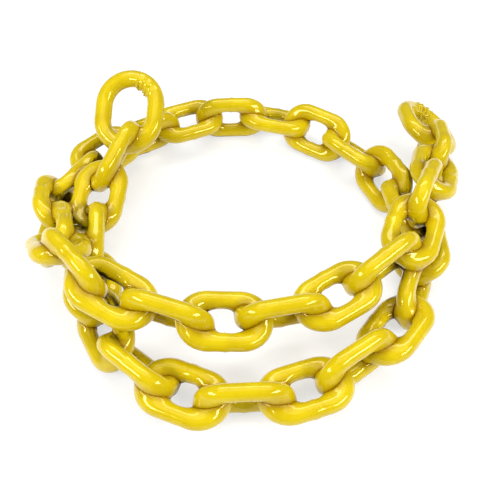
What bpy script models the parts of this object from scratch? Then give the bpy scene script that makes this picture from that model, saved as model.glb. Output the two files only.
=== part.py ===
# A length of welded steel chain in a thick yellow coat, laid in a loose coil of one and two thirds turns.
# Metres, +Z up. The origin is on the floor, under the middle of the coil's outer size.
from itertools import combinations
from math import cos, pi, radians, sin

import bmesh
import bpy
import numpy as np
from mathutils import Matrix, Vector

MM = 0.001

# The driving sizes, over the coat: 10 mm bar under 0.25 mm of coat, and 11.5 mm bar under 0.3 mm in the
# larger link at each end. The inside lengths and widths are those of a link.
WIRE = 10.5 * MM
LINK_INSIDE_LENGTH = 36.5 * MM
LINK_INSIDE_WIDTH = 16.5 * MM
END_WIRE = 12.1 * MM
END_INSIDE_LENGTH = 37.4 * MM
END_INSIDE_WIDTH = 26.6 * MM

# Links that bear on each other keep this gap, and the next link along is never more than the slack past it.
# A section's corners stand outside the bar's radius by the allowance.
TOUCH_GAP = 0.3 * MM
SLACK = 0.1 * MM
CORNER_ALLOWANCE = 1.02
SECTION_SIDES = 10
CROWN_STEPS = 8

# How far away a link can still be in the way, and when one has settled.
NEAR = 75.0 * MM
CLOSE_ENOUGH = 0.01 * MM
SETTLE_ROUNDS = 300

# The points where each link bears on the next, in mm, from the far side of the end link at the back left
# to the far side of the one at the back right. The lower turn lies on the floor and the upper one crosses it.
JOINTS = [
    (-87, 103, 64), (-89.5, 74.5, 44.5), (-103, 44, 33), (-107, 10, 22), (-103, -25, 18), (-99, -61, 17),
    (-81, -92, 18), (-54, -113, 17), (-20, -126, 17), (16, -124, 17), (50, -112, 17), (80, -90, 17),
    (102, -61, 17), (115, -27, 18), (115, 9, 17), (109, 45, 14), (94, 79, 14), (69, 104, 15),
    (36, 124, 16), (0, 131, 18), (-36, 129, 18), (-68, 115, 18), (-99, 95, 19), (-122, 69, 19),
    (-140, 41, 16), (-134, 6, 24), (-125, -21, 34), (-113, -43, 50), (-94, -64, 50), (-67, -76, 42),
    (-33, -85, 38), (3, -82, 33), (39, -74, 33), (70, -55, 37), (99, -33, 44), (111, 0, 46),
    (126, 33, 39), (136, 66.5, 30), (139.5, 101.5, 21), (137, 138, 15),
]

# How far each link is rolled about its own line, in degrees: 0 lies flat, 90 stands on edge, and
# between 0 and 90 the side nearer the middle of the coil is the higher one.
LEANS = [
    5, 65, 5, 75, -30, 45, 120, 0, 105, -5, 90, -20, 70,
    -25, 50, -55, 40, -55, 20, 85, -5, 75, -10, 55, -55, 50,
    -15, 100, 0, 110, 10, 110, 0, 105, 10, 85, 25, 110, 31,
]

YELLOW = "#EBC81C"
PAINT_ROUGHNESS = 0.2


def linear_colour(hex_code):
    shares = [int(hex_code[i : i + 2], 16) / 255 for i in (1, 3, 5)]
    return [s / 12.92 if s <= 0.04045 else ((s + 0.055) / 1.055) ** 2.4 for s in shares] + [1.0]


def clear_scene():
    for obj in list(bpy.data.objects):
        bpy.data.objects.remove(obj)


def painted_steel(name):
    material = bpy.data.materials.new(name)
    material.use_nodes = True
    shader = material.node_tree.nodes["Principled BSDF"]
    shader.inputs["Base Color"].default_value = linear_colour(YELLOW)
    shader.inputs["Roughness"].default_value = PAINT_ROUGHNESS
    shader.inputs["Metallic"].default_value = 0.0
    return material


# The bar's diameter, the crown's radius to the middle of the bar, and half of the straight side.
def link_size(wire, inside_long, inside_wide):
    crown = (inside_wide + wire) / 2
    return {"wire": wire, "crown": crown, "straight": (inside_long + wire) / 2 - crown}


# A link's frame: X from its back joint to its front one, Y across the link's flat, Z square to the flat.
def link_frame(back, front, lean):
    along = (front - back).normalized()
    inward = Vector((-along.y, along.x, 0)).normalized()
    upward = along.cross(inward)
    across = inward * cos(radians(lean)) + upward * sin(radians(lean))
    square = along.cross(across)
    axes = Matrix((along, across, square)).transposed().to_4x4()
    return Matrix.Translation((back + front) / 2) @ axes


# The middle line of a link's bar, as (point, outward direction) pairs in the link's own frame.
def link_loop(size):
    loop = []
    for end in (1, -1):
        for step in range(CROWN_STEPS + 1):
            angle = pi * (step / CROWN_STEPS - 0.5)
            outward = Vector((end * cos(angle), end * sin(angle), 0))
            loop.append((Vector((end * size["straight"], 0, 0)) + outward * size["crown"], outward))
    return loop


def bar_line(frame, size, fill=12):
    corners = np.array([frame @ point for point, _ in link_loop(size)])
    t = np.linspace(0, 1, fill, endpoint=False)[:, None]
    return np.vstack([a + (b - a) * t for a, b in zip(corners, np.roll(corners, -1, axis=0))])


# The push that clears the second link of the first or, for the next link along, that draws it back to it.
def push_off(first, second, next_along):
    one, other = first["bar"], second["bar"]
    squares = (one**2).sum(axis=1)[:, None] + (other**2).sum(axis=1) - 2 * one @ other.T
    near_one, near_other = np.unravel_index(squares.argmin(), squares.shape)
    apart = Vector(other[near_other] - one[near_one])
    room = (first["size"]["wire"] + second["size"]["wire"]) / 2 + TOUCH_GAP
    short = room - apart.length
    if short > CLOSE_ENOUGH or (next_along and short < -SLACK):
        return apart.normalized() * short
    return None


def shift(place, move):
    place["frame"] = Matrix.Translation(move) @ place["frame"]
    place["bar"] = place["bar"] + np.array(move)


# One round of settling: two links that are too near part evenly, and one that is below the floor rises.
def settle_once(laid, near_pairs):
    settled = True
    for first, second in near_pairs:
        push = push_off(first, second, second["number"] - first["number"] == 1)
        if push is not None:
            shift(first, push / -2)
            shift(second, push / 2)
            settled = False
    for place in laid:
        below = place["size"]["wire"] / 2 * CORNER_ALLOWANCE - place["bar"][:, 2].min()
        if below > CLOSE_ENOUGH:
            shift(place, Vector((0, 0, below)))
            settled = False
    return settled


# Lays each link between its two joints, then lets them all settle against each other and the floor.
def lay_chain(link, end_link):
    joints = [Vector(joint) * MM for joint in JOINTS]
    sizes = [end_link] + [link] * (len(LEANS) - 2) + [end_link]
    laid = []
    for back, front, lean, size in zip(joints, joints[1:], LEANS, sizes):
        frame = link_frame(back, front, lean)
        laid.append({"number": len(laid), "frame": frame, "size": size, "bar": bar_line(frame, size)})
    near_pairs = [
        (first, second)
        for first, second in combinations(laid, 2)
        if (first["frame"].translation - second["frame"].translation).length < NEAR
    ]
    for _ in range(SETTLE_ROUNDS):
        if settle_once(laid, near_pairs):
            break
    return laid


# A ring of flat-sided bar. On each straight side one flat faces straight down once the link is leaned.
def link_mesh(name, size, lean):
    corner_radius = size["wire"] / 2 * CORNER_ALLOWANCE
    turn = radians(abs(lean) - 90) - pi / SECTION_SIDES
    mesh = bmesh.new()
    rings = []
    for point, outward in link_loop(size):
        angles = [turn + 2 * pi * side / SECTION_SIDES for side in range(SECTION_SIDES)]
        ring = [point + corner_radius * (outward * cos(a) + Vector((0, 0, sin(a)))) for a in angles]
        rings.append([mesh.verts.new(corner) for corner in ring])
    for ring, following in zip(rings, rings[1:] + rings[:1]):
        for side in range(SECTION_SIDES):
            beside = (side + 1) % SECTION_SIDES
            mesh.faces.new((ring[side], following[side], following[beside], ring[beside]))
    bmesh.ops.recalc_face_normals(mesh, faces=mesh.faces)
    data = bpy.data.meshes.new(name)
    mesh.to_mesh(data)
    mesh.free()
    data.shade_smooth()
    return data


def add_link(name, place, lean, material, lift):
    obj = bpy.data.objects.new(name, link_mesh(name, place["size"], lean))
    obj.matrix_world = Matrix.Translation(lift) @ place["frame"]
    obj.data.materials.append(material)
    bpy.context.scene.collection.objects.link(obj)


# The shift that stands the coil on the floor with the origin under the middle of its outer size.
def shift_to_origin(laid):
    lows, highs = [], []
    for place, lean in zip(laid, LEANS):
        data = link_mesh("measure", place["size"], lean)
        corners = np.array([place["frame"] @ vertex.co for vertex in data.vertices])
        bpy.data.meshes.remove(data)
        lows.append(corners.min(axis=0))
        highs.append(corners.max(axis=0))
    low, high = np.min(lows, axis=0), np.max(highs, axis=0)
    return Vector((-(low[0] + high[0]) / 2, -(low[1] + high[1]) / 2, -low[2]))


def build_chain():
    link = link_size(WIRE, LINK_INSIDE_LENGTH, LINK_INSIDE_WIDTH)
    end_link = link_size(END_WIRE, END_INSIDE_LENGTH, END_INSIDE_WIDTH)
    laid = lay_chain(link, end_link)
    shift = shift_to_origin(laid)
    names = ["end_link_left"] + [f"link_{n:02d}" for n in range(1, len(LEANS) - 1)] + ["end_link_right"]
    link_paint = painted_steel("gloss_yellow_paint")
    end_paint = painted_steel("gloss_yellow_end_paint")
    for name, place, lean in zip(names, laid, LEANS):
        paint = end_paint if place["size"] is end_link else link_paint
        add_link(name, place, lean, paint, shift)


clear_scene()
build_chain()
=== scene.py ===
# Welded steel chain in a thick, glossy yellow dip coat, laid in a loose coil on a light table.
# The links lie where the CAD has them. Each is modelled as a round bar, then coated with its neighbours.
from math import cos, pi, radians, sin

import bmesh
import bpy
import numpy as np
from mathutils import Matrix, Vector, noise
from mathutils.bvhtree import BVHTree


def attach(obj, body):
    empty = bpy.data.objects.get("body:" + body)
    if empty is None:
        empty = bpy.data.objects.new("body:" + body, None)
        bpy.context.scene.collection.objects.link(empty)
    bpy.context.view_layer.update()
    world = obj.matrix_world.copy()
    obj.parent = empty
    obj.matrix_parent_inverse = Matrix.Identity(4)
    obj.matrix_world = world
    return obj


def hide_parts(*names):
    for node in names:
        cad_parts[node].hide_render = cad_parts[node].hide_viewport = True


mm = 0.001
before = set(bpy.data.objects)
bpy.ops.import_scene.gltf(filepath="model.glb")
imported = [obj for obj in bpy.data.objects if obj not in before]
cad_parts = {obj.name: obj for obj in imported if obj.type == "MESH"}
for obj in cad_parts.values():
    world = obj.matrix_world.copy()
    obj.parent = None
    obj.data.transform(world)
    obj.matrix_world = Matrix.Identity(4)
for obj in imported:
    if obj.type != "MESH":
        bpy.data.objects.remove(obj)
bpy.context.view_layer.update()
print("stage: frame loaded")


def fromHex(code):
    shares = [int(code[i : i + 2], 16) / 255 for i in (1, 3, 5)]
    return [s / 12.92 if s <= 0.04045 else ((s + 0.055) / 1.055) ** 2.4 for s in shares] + [1.0]


def addNode(tree, kind, settings, links):
    node = tree.nodes.new(kind)
    for name, value in settings.items():
        if name in node.inputs:
            node.inputs[name].default_value = value
        else:
            setattr(node, name, value)
    for socket, source in links.items():
        tree.links.new(source, node.inputs[socket])
    return node


def coordinates(mesh):
    flat = np.empty(len(mesh.vertices) * 3)
    mesh.vertices.foreach_get("co", flat)
    return flat.reshape(-1, 3)


def newMaterial(name):
    material = bpy.data.materials.new(name)
    material.use_nodes = True
    return material, material.node_tree, material.node_tree.nodes["Principled BSDF"]


chainNames = ["end_link_left"] + [f"link_{n:02d}" for n in range(1, 38)] + ["end_link_right"]


# A link's place, read from its CAD node: X along it to the next link, Y across its flat, Z square to it.
def linkPlaces():
    corners = []
    for name in chainNames:
        corners.append(np.unique(coordinates(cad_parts[name].data).round(6), axis=0))
    centres = [points.mean(axis=0) for points in corners]
    places = []
    for n, points in enumerate(corners):
        _, axes = np.linalg.eigh(np.cov((points - centres[n]).T))
        onward = centres[n + 1] - centres[n] if n < len(centres) - 1 else centres[n] - centres[n - 1]
        along = axes[:, 2] * np.sign(axes[:, 2] @ onward)
        square = axes[:, 0] * (1 if axes[2, 0] > 0 else -1)
        places.append({"centre": centres[n], "axes": np.array([along, np.cross(square, along), square])})
    return places


places = linkPlaces()
lastLink = len(places) - 1
print("stage: places of", len(places), "links read")


shortLink = {
    "barMm": 10.5,
    "insideLongMm": 36.5,
    "insideWideMm": 16.5,
    "sides": 40,
    "crownSteps": 32,
    "straightSteps": 14,
    # how much the butt weld swells the bar at its middle and at each step away from it
    "collar": [1.07, 1.045, 1.012],
    # one link in so many has its weld on the other side
    "turnedEvery": 3,
}
endLink = {
    "barMm": 12.1,
    "insideLongMm": 37.4,
    "insideWideMm": 26.6,
    "sides": 72,
    "crownSteps": 130,
    "straightSteps": 10,
    "collar": [],
}


# The bar's radius, the crown's radius to the middle of the bar, and half of the straight side.
def ringSize(ring):
    crown = (ring["insideWideMm"] + ring["barMm"]) / 2 * mm
    return ring["barMm"] / 2 * mm, crown, (ring["insideLongMm"] + ring["barMm"]) / 2 * mm - crown


def selectVertices(wanted):
    shape = bmesh.from_edit_mesh(bpy.context.edit_object.data)
    for vertex in shape.verts:
        vertex.select = wanted(vertex.co)
    shape.select_flush(True)
    bmesh.update_edit_mesh(bpy.context.edit_object.data)


# A round section is spun round one crown, drawn along a side, spun round the other and drawn back.
def modelRing(name, ring):
    radius, crown, half = ringSize(ring)
    bpy.ops.object.select_all(action="DESELECT")
    bpy.ops.mesh.primitive_circle_add(
        vertices=ring["sides"], radius=radius, location=(half, -crown, 0), rotation=(0, pi / 2, 0)
    )
    piece = bpy.context.active_object
    piece.name = name
    bpy.ops.object.transform_apply(location=True, rotation=True, scale=True)
    bpy.ops.object.mode_set(mode="EDIT")
    step = 2 * half / ring["straightSteps"]
    nearly = step / 20  # points nearer than this count as one place
    for side in (1, -1):
        bpy.ops.mesh.spin(steps=ring["crownSteps"], angle=pi, center=(side * half, 0, 0), axis=(0, 0, -1))
        for _ in range(ring["straightSteps"]):
            bpy.ops.mesh.extrude_region_move(TRANSFORM_OT_translate={"value": (-side * step, 0, 0)})
    bpy.ops.mesh.select_all(action="SELECT")
    bpy.ops.mesh.remove_doubles(threshold=nearly)
    bpy.ops.mesh.normals_make_consistent(inside=False)
    # the butt weld in the middle of one side stands a little proud
    for away, swell in enumerate(ring["collar"]):
        selectVertices(lambda co: co.y > 0 and abs(abs(co.x) - away * step) < nearly)
        bpy.ops.transform.resize(value=(1, swell, swell), center_override=(0, crown, 0))
    bpy.ops.object.mode_set(mode="OBJECT")
    bpy.ops.object.shade_smooth()
    return piece


closingWeld = {
    # how far round the crown the weld's middle is, and how heavy it is: the right link has the heavier one
    "left": {"turnDegrees": 40.0, "weight": 1.0},
    "right": {"turnDegrees": 0.0, "weight": 1.35},
    # each bead's place along the bar, its height and how far it slants on its way round the bar, in mm
    "beads": [
        (-7.6, 0.7, 1.2),
        (-5.1, 1.1, -1.0),
        (-2.9, 0.9, 0.8),
        (-0.6, 1.2, -1.3),
        (1.8, 1.0, 0.9),
        (4.3, 1.2, -0.8),
        (6.9, 0.7, 1.1),
    ],
    "beadWideMm": 0.75,
    # the beads are lumpy: how far from one lump to the next, the mean height and how much it varies
    "lumpMm": 1.8,
    "lumpMean": 0.85,
    "lumpSwing": 1.3,
}


# The end link was closed by hand: short beads across the bar on its free crown, left rough under the coat.
def weldFreeCrown(piece, ring, side):
    _, crown, half = ringSize(ring)
    points = coordinates(piece.data)
    arm = points[:, :2] + (half, 0)
    reach = np.hypot(arm[:, 0], arm[:, 1])
    turned = radians(closingWeld[side]["turnDegrees"])
    along = (np.arctan2(arm[:, 1], -arm[:, 0]) - turned) * crown / mm
    roundBar = np.arctan2(points[:, 2], crown - reach)  # 0 on the inner side of the bend
    high = np.zeros(len(points))
    for at, top, slant in closingWeld["beads"]:
        high += top * np.exp(-(((along - at - slant * np.sin(roundBar)) / closingWeld["beadWideMm"]) ** 2))
    mean, swing, apart = closingWeld["lumpMean"], closingWeld["lumpSwing"], closingWeld["lumpMm"] * mm
    lumps = np.array([mean + swing * noise.noise(Vector(point) / apart) for point in points])
    # full height on the inner side of the bend, none on the outer side, and none past the crown
    high *= closingWeld[side]["weight"] * lumps * (0.5 + 0.5 * np.cos(roundBar)) * (points[:, 0] < -half)
    way = np.column_stack([arm * ((reach - crown) / reach)[:, None], points[:, 2]])
    way /= np.linalg.norm(way, axis=1)[:, None]
    piece.data.vertices.foreach_set("co", (points + way * (high * mm)[:, None]).ravel())
    piece.data.update()


linkPattern = modelRing("linkPattern", shortLink)
leftPattern = modelRing("leftPattern", endLink)
weldFreeCrown(leftPattern, endLink, "left")
rightPattern = modelRing("rightPattern", endLink)
weldFreeCrown(rightPattern, endLink, "right")
vertexCounts = [len(pattern.data.vertices) for pattern in (linkPattern, leftPattern)]
print("stage: bars modelled, vertices in a link and in an end link:", *vertexCounts)


coat = {
    # how far the coat stands over the CAD's bar on a bare stretch
    "skinMm": 0.1,
    # how far apart two coated bars can be and still be bridged, and how much the two skins overlap there
    "bridgeMm": 4.2,
    "overlapMm": 0.06,
    # slow thick and thin places: how much, and how far from one to the next
    "waveMm": 0.07,
    "waveLengthMm": 9.0,
    # links whose middles are nearer than this can touch, and the depths at which their joint is looked for
    "neighbourMm": 75.0,
    "searchSteps": 41,
}


# For points in the row frame: how far they are outside a link's round bar, and the way straight out from it.
def outsideBar(points, place, ring):
    radius, crown, half = ringSize(ring)
    local = (points - place["centre"]) @ place["axes"].T
    beyond = np.sign(local[:, 0]) * np.maximum(np.abs(local[:, 0]) - half, 0)
    reach = np.hypot(beyond, local[:, 1])
    middle = np.stack([beyond, local[:, 1]], axis=1) * (crown / np.maximum(reach, 1e-9))[:, None]
    way = np.column_stack([beyond - middle[:, 0], local[:, 1] - middle[:, 1], local[:, 2]])
    length = np.linalg.norm(way, axis=1)
    return length - radius, (way / length[:, None]) @ place["axes"]


# How far points are outside the nearest of several links.
def clearOf(points, others):
    return np.min([outsideBar(points, place, ring)[0] for place, ring in others], axis=0)


# Wet coat bridges bars that nearly touch. Each skin swells until it meets the smooth joint of the two.
def swellCoat(points, outward, others):
    bridge, skin = coat["bridgeMm"] * 2 * mm, coat["skinMm"] * mm
    swell = np.full(len(points), skin)
    near = np.flatnonzero(clearOf(points, others) < bridge)
    last = np.full(len(near), -1.0)
    done = np.zeros(len(near), bool)
    steps = np.linspace(0, bridge / 2, coat["searchSteps"])
    for t in steps:
        gap = clearOf(points[near] + outward[near] * (t + skin), others) - skin
        blend = np.maximum(bridge - np.abs(gap - t), 0) / bridge
        joined = np.minimum(gap, t) - blend**2 * bridge / 4
        level = np.maximum(joined, t - gap - coat["overlapMm"] * mm)
        found = ~done & (level >= 0)
        back = np.where(last < 0, level / np.maximum(level - last, 1e-12), 0)
        swell[near[found]] = skin + (t - back * steps[1])[found].clip(0)
        done |= found
        last = level
    swell[near[~done]] = skin + steps[-1]
    return swell


def ringOf(n):
    return endLink if n in (0, lastLink) else shortLink


# The last link is turned end for end, so that its welded crown is the free one.
def placeMatrix(n):
    along, across, square = (Vector(axis) for axis in places[n]["axes"])
    if n == lastLink:
        along, square = -along, -square
    elif n and n % shortLink["turnedEvery"] == 0:
        across, square = -across, -square
    turn = Matrix((along, across, square)).transposed().to_4x4()
    return Matrix.Translation(Vector(places[n]["centre"])) @ turn


def neighboursOf(n):
    near = []
    for m, place in enumerate(places):
        apart = np.linalg.norm(place["centre"] - places[n]["centre"])
        if m != n and apart < coat["neighbourMm"] * mm:
            near.append((place, ringOf(m)))
    return near


# Returns the coated link and, for each of its vertices, whether it is inside a neighbour's coat.
def coatLink(n):
    pattern = {0: leftPattern, lastLink: rightPattern}.get(n, linkPattern)
    piece = pattern.copy()
    piece.data = pattern.data.copy()
    piece.name = chainNames[n] + "_coated"
    bpy.context.scene.collection.objects.link(piece)
    piece.data.transform(placeMatrix(n))
    points = coordinates(piece.data)
    _, outward = outsideBar(points, places[n], ringOf(n))
    others = neighboursOf(n)
    swell = swellCoat(points, outward, others)
    pitch = 1 / (coat["waveLengthMm"] * mm)
    wave = np.array([noise.noise(Vector(point) * pitch) for point in points]) * coat["waveMm"] * mm
    points = points + outward * (swell + wave)[:, None]
    points[:, 2] = points[:, 2].clip(0)  # the coat is pressed flat where it bears on the floor
    piece.data.vertices.foreach_set("co", points.ravel())
    # how far the coat has gathered; it later deepens the colour at the joints, partly as painted shade
    build = piece.data.attributes.new("coatBuildUp", "FLOAT", "POINT")
    build.data.foreach_set("value", ((swell - coat["skinMm"] * mm) / (coat["bridgeMm"] * mm / 2)).clip(0, 1))
    piece.data.update()
    return piece, clearOf(points, others) < swell + wave


coatedLinks, buried = zip(*[coatLink(n) for n in range(len(places))])
for pattern in (linkPattern, leftPattern, rightPattern):
    bpy.data.objects.remove(pattern)
print("stage: coat drawn over", len(coatedLinks), "links")


shelter = {
    "rays": 16,
    "goldenAngle": 2.39996,
    # how far a ray looks, and how far over the surface it starts
    "reachMm": 24.0,
    "liftMm": 0.4,
    # half the side of the floor that the rays can meet, in metres, and how much it counts against a bar
    "floorHalf": 0.4,
    "floorShare": 0.85,
    "spreadSteps": 4,
}


# Rays spread evenly over the half space in front of a surface, more of them near its normal.
def raysRound(way):
    side = way.orthogonal().normalized()
    other = way.cross(side)
    rays = []
    for n in range(shelter["rays"]):
        tilt = ((n + 0.5) / shelter["rays"]) ** 0.5
        turn = n * shelter["goldenAngle"]
        rays.append(way * (1 - tilt**2) ** 0.5 + (side * cos(turn) + other * sin(turn)) * tilt)
    return rays


# A vertex inside a neighbour's coat takes the value of those round it, so that the crease stays even.
def spreadInto(values, inside, mesh):
    edges = np.empty(len(mesh.edges) * 2, int)
    mesh.edges.foreach_get("vertices", edges)
    one, other = edges.reshape(-1, 2).T
    known = ~inside
    for _ in range(shelter["spreadSteps"]):
        total, count = np.zeros(len(values)), np.zeros(len(values))
        for a, b in ((one, other), (other, one)):
            np.add.at(total, a, values[b] * known[b])
            np.add.at(count, a, known[b])
        fresh = ~known & (count > 0)
        values[fresh] = total[fresh] / count[fresh]
        known |= fresh
    return values


# The floor, which is face 0, and all the pieces in one tree that rays can be cast into.
def rayTree(pieces):
    half = shelter["floorHalf"]
    corners = [Vector((x, y, 0)) for x, y in ((-half, -half), (half, -half), (half, half), (-half, half))]
    faces = [[0, 1, 2, 3]]
    for piece in pieces:
        first = len(corners)
        corners += [vertex.co.copy() for vertex in piece.data.vertices]
        faces += [[first + corner for corner in face.vertices] for face in piece.data.polygons]
    return BVHTree.FromPolygons(corners, faces)


# How much of the way out of each vertex is blocked by other bars or by the floor: this mask paints shade
# into the coat's colour.
def markShelter(pieces):
    tree = rayTree(pieces)
    reach = shelter["reachMm"] * mm
    for piece, inside in zip(pieces, buried):
        hidden = np.zeros(len(inside))
        for vertex in piece.data.vertices:
            if not inside[vertex.index]:
                start = vertex.co + vertex.normal * shelter["liftMm"] * mm
                met = [tree.ray_cast(start, ray, reach)[2] for ray in raysRound(vertex.normal)]
                shut = sum(shelter["floorShare"] if face == 0 else 1 for face in met if face is not None)
                hidden[vertex.index] = shut / len(met)
        mark = piece.data.attributes.new("shelter", "FLOAT", "POINT")
        mark.data.foreach_set("value", spreadInto(hidden, inside, piece.data))


markShelter(coatedLinks)
print("stage: sheltered places marked")


# Plastisol dip coat: PVC paste fused in an oven. A thick skin that flows before it sets, so it is glossy,
# a little wavy, deeper in colour where it has gathered (partly painted shade at the joints), and faintly
# dimpled like orange peel.
dipCoat = {
    "thin": "#C6AF0C",
    # the deeper colour where the coat has gathered at the joints, which also stands in for the shade there
    "thick": "#987600",
    # cloudy places where the coat is a little thicker: their size, and from which level and how much
    "cloudMm": 14.0,
    "cloudDetail": 3.0,
    "cloudFrom": 0.35,
    "cloudTo": 0.7,
    "cloudMost": 0.3,
    # painted shade: a dark brown mixed into the colour where the bars close each other in: from which
    # shelter on, and how much
    "paintedShade": "#261700",
    "paintedShadeFrom": 0.48,
    "paintedShadeTo": 0.74,
    "paintedShadeMost": 0.97,
    "paintedShadeRoughness": 0.32,
    "gloss": "#FFE680",
    "ior": 1.48,
    "roughness": 0.15,
    # the clear, smoother top of the skin
    "skinRoughness": 0.05,
    "skinWeight": 0.34,
    # the orange peel and the wider dimples under it
    "peelMm": 1.1,
    "peelDeepMm": 0.012,
    "dimpleMm": 4.5,
    "dimpleDeepMm": 0.035,
    "reliefDetail": 1.0,
}


def addNoise(tree, place, sizeMm, detail):
    settings = {"Scale": 1 / (sizeMm * mm), "Detail": detail}
    return addNode(tree, "ShaderNodeTexNoise", settings, {"Vector": place}).outputs["Fac"]


def addRange(tree, settings, value):
    return addNode(tree, "ShaderNodeMapRange", settings, {"Value": value}).outputs["Result"]


def addBump(tree, deepMm, links):
    settings = {"Strength": 1.0, "Distance": deepMm * mm}
    return addNode(tree, "ShaderNodeBump", settings, links).outputs["Normal"]


def addAttribute(tree, name):
    return addNode(tree, "ShaderNodeAttribute", {"attribute_name": name}, {}).outputs["Fac"]


# Sockets 6 and 7 of a Mix node are the two colours, socket 0 is the share and output 2 the mixed colour.
def addMix(tree, colours, links):
    mix = addNode(tree, "ShaderNodeMix", {"data_type": "RGBA"}, links)
    for socket, code in colours.items():
        mix.inputs[socket].default_value = fromHex(code)
    return mix.outputs[2]


def coatColour(tree, place):
    cloud = addNoise(tree, place, dipCoat["cloudMm"], dipCoat["cloudDetail"])
    levels = {
        "From Min": dipCoat["cloudFrom"],
        "From Max": dipCoat["cloudTo"],
        "To Max": dipCoat["cloudMost"],
    }
    soft = addRange(tree, levels, cloud)
    added = {"operation": "ADD", "use_clamp": True}
    # deeper in colour in random thicker clouds and where the coat has gathered at the joints, the latter
    # partly painted shade
    gathered = addNode(tree, "ShaderNodeMath", added, {0: soft, 1: addAttribute(tree, "coatBuildUp")})
    return addMix(tree, {6: dipCoat["thin"], 7: dipCoat["thick"]}, {0: gathered.outputs["Value"]})


# The share of painted shade, from how closed in each place is.
def paintedShadeShare(tree):
    levels = {"From Min": dipCoat["paintedShadeFrom"], "From Max": dipCoat["paintedShadeTo"], "To Max": dipCoat["paintedShadeMost"]}
    return addRange(tree, {"interpolation_type": "SMOOTHSTEP", **levels}, addAttribute(tree, "shelter"))


def coatRelief(tree, place):
    dimple = addNoise(tree, place, dipCoat["dimpleMm"], dipCoat["reliefDetail"])
    wavy = addBump(tree, dipCoat["dimpleDeepMm"], {"Height": dimple})
    peel = addNoise(tree, place, dipCoat["peelMm"], dipCoat["reliefDetail"])
    return addBump(tree, dipCoat["peelDeepMm"], {"Height": peel, "Normal": wavy})


def dipCoatMaterial():
    material, tree, shader = newMaterial("yellowPlastisolDip")
    place = addNode(tree, "ShaderNodeTexCoord", {}, {}).outputs["Object"]
    paintedShade = paintedShadeShare(tree)
    # the coat colour goes to dark brown as painted shade where it is closed in, and is made rougher there
    colour = addMix(tree, {7: dipCoat["paintedShade"]}, {0: paintedShade, 6: coatColour(tree, place)})
    tree.links.new(colour, shader.inputs["Base Color"])
    dulled = addRange(tree, {"To Min": dipCoat["roughness"], "To Max": dipCoat["paintedShadeRoughness"]}, paintedShade)
    tree.links.new(dulled, shader.inputs["Roughness"])
    relief = coatRelief(tree, place)
    tree.links.new(relief, shader.inputs["Normal"])
    tree.links.new(relief, shader.inputs["Coat Normal"])
    shader.inputs["IOR"].default_value = dipCoat["ior"]
    shader.inputs["Specular Tint"].default_value = fromHex(dipCoat["gloss"])
    shader.inputs["Coat Weight"].default_value = dipCoat["skinWeight"]
    shader.inputs["Coat Roughness"].default_value = dipCoat["skinRoughness"]
    return material


yellowDip = dipCoatMaterial()
for name, piece in zip(chainNames, coatedLinks):
    piece.data.materials.clear()
    piece.data.materials.append(yellowDip)
    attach(piece, "root")
    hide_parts(name)
print("stage: coat coloured")


lightTable = {"colour": "#A6A6A5", "glowColour": "#FFFFFF", "glow": 0.62, "roughness": 0.7, "size": 8.0}


# The floor: opal acrylic, lit from below.
def addLightTable():
    bpy.ops.object.select_all(action="DESELECT")
    bpy.ops.mesh.primitive_plane_add(size=lightTable["size"], location=(0, 0, 0))
    floor = bpy.context.active_object
    floor.name = "paleFloor"
    material, _, shader = newMaterial("opalAcrylic")
    shader.inputs["Base Color"].default_value = fromHex(lightTable["colour"])
    shader.inputs["Roughness"].default_value = lightTable["roughness"]
    shader.inputs["Emission Color"].default_value = fromHex(lightTable["glowColour"])
    shader.inputs["Emission Strength"].default_value = lightTable["glow"]
    floor.data.materials.append(material)


# Sets a lamp or the camera down at a distance from the target, looking at it, and adds it to the scene.
def aimFrom(thing, azimuth, elevation, distance, target):
    a, e = radians(azimuth), radians(elevation)
    way = Vector((sin(a) * cos(e), -cos(a) * cos(e), sin(e)))
    thing.location = Vector(target) + way * distance
    thing.rotation_euler = way.to_track_quat("Z", "Y").to_euler()
    bpy.context.scene.collection.objects.link(thing)


# Azimuth from the front and elevation in degrees, distance and size across and up in metres, watts.
softboxes = {
    "topSoftbox": (180, 80, 1.3, (1.5, 1.3), 9.6),
    "backStrip": (180, 62, 1.2, (1.1, 0.26), 4.5),
    "leftSoftbox": (-60, 33, 0.95, (0.62, 0.17), 6.8),
    "rightSoftbox": (58, 33, 0.95, (0.62, 0.17), 6.8),
    "frontFill": (0, 52, 1.2, (0.9, 0.9), 1.0),
}


def addSoftbox(name):
    azimuth, elevation, distance, size, watts = softboxes[name]
    data = bpy.data.lights.new(name, "AREA")
    data.shape = "RECTANGLE"
    data.size, data.size_y = size
    data.energy = watts
    box = bpy.data.objects.new(name, data)
    aimFrom(box, azimuth, elevation, distance, (0, 0, 0))
    box.visible_glossy = name != "frontFill"  # the fill lifts the shadows and leaves no highlight


# Seen from the front and above, as in the photograph. Degrees and metres, the lens and sensor in mm.
view = {
    "azimuth": 0.69,
    "elevation": 50.28,
    "distance": 0.4683,
    "target": (-0.0049, -0.0045, -0.0003),
    "lens": 48.2,
    "sensor": 36,
    "shiftY": 0.0123,
    "clip": (0.02, 20),
}


def addCamera():
    data = bpy.data.cameras.new("camera")
    data.lens, data.sensor_width, data.shift_y = view["lens"], view["sensor"], view["shiftY"]
    data.clip_start, data.clip_end = view["clip"]
    camera = bpy.data.objects.new("camera", data)
    aimFrom(camera, view["azimuth"], view["elevation"], view["distance"], view["target"])
    bpy.context.scene.camera = camera


dimRoom = {"colour": "#E2E4E6", "strength": 0.26}


def addRoom():
    world = bpy.data.worlds.new("studioWorld")
    world.use_nodes = True
    background = world.node_tree.nodes["Background"]
    background.inputs["Color"].default_value = fromHex(dimRoom["colour"])
    background.inputs["Strength"].default_value = dimRoom["strength"]
    bpy.context.scene.world = world


addLightTable()
for name in softboxes:
    addSoftbox(name)
addCamera()
addRoom()
bpy.context.scene.view_settings.view_transform = "Standard"
print("stage: studio set")
